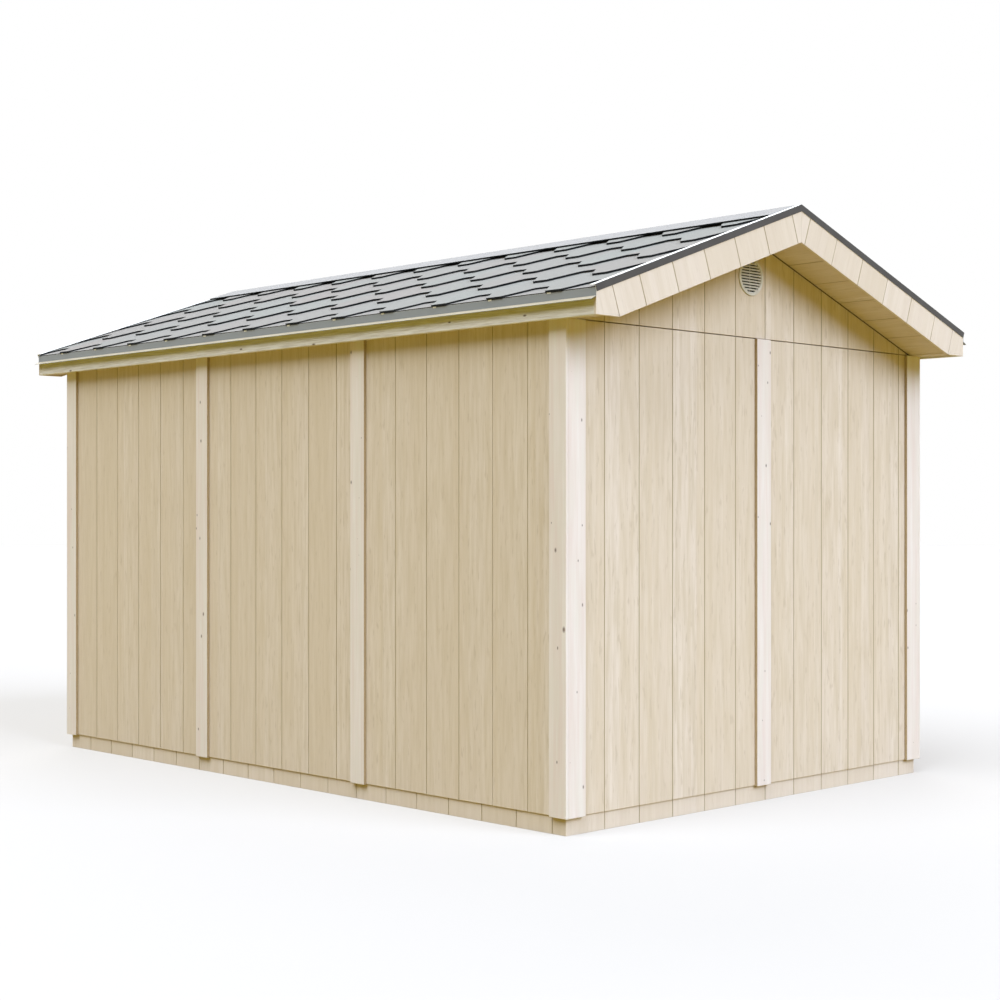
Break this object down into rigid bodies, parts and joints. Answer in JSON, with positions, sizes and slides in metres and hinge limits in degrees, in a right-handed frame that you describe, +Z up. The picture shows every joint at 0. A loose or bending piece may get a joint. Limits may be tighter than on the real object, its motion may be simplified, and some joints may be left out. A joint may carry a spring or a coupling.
{
  "type": "wooden garden shed",
  "caption": "Closed wooden garden shed with grooved sheet siding, batten trims, a low gable roof with light grey shingles and a round louvred vent in each gable.",
  "frame": {"origin": "centre of the footprint, on the ground", "axes": "+Y along the ridge, towards the back gable; +X towards the right long side; +Z up"},
  "size_m": [2.575, 4.183, 2.5639],
  "materials": {
    "grooved_siding": "primed grooved plywood siding, matt, faint vertical grain",
    "trim_board": "whitewashed pine board with small dark knots, matt",
    "fascia_board": "rough sawn timber with knots, matt",
    "framing_timber": "planed softwood, untreated",
    "sheathing_board": "softwood plywood, untreated",
    "eave_metal": "light grey coated sheet metal, satin",
    "rake_metal": "dark warm grey coated sheet metal, satin",
    "roof_shingle": "light grey mineral granules on bitumen, matt",
    "vent_plastic": "moulded off-white plastic, matt"
  },
  "bodies": {
    "root": {"floor_joists": "framing_timber", "floor_deck": "sheathing_board", "front_skirt": "grooved_siding", "back_skirt": "grooved_siding", "left_skirt": "grooved_siding", "right_skirt": "grooved_siding", "front_wall_frame": "framing_timber", "back_wall_frame": "framing_timber", "left_wall_frame": "framing_timber", "right_wall_frame": "framing_timber", "front_siding": "grooved_siding", "back_siding": "grooved_siding", "left_siding": "grooved_siding", "right_siding": "grooved_siding", "front_left_corner_trim": "trim_board", "front_right_corner_trim": "trim_board", "back_left_corner_trim": "trim_board", "back_right_corner_trim": "trim_board", "front_batten": "trim_board", "back_batten": "trim_board", "left_battens": "trim_board", "right_battens": "trim_board", "left_rafters": "framing_timber", "right_rafters": "framing_timber", "left_roof_deck": "sheathing_board", "right_roof_deck": "sheathing_board", "left_fascia": "fascia_board", "right_fascia": "fascia_board", "front_left_barge_board": "grooved_siding", "front_right_barge_board": "grooved_siding", "back_left_barge_board": "grooved_siding", "back_right_barge_board": "grooved_siding", "front_left_soffit": "grooved_siding", "front_right_soffit": "grooved_siding", "back_left_soffit": "grooved_siding", "back_right_soffit": "grooved_siding", "eave_soffits": "grooved_siding", "left_drip_edge": "eave_metal", "right_drip_edge": "eave_metal", "front_rake_flashing": "rake_metal", "back_rake_flashing": "rake_metal", "left_shingles": "roof_shingle", "right_shingles": "roof_shingle", "ridge_cap": "roof_shingle", "gable_vents": "vent_plastic"}
  },
  "joints": []
}
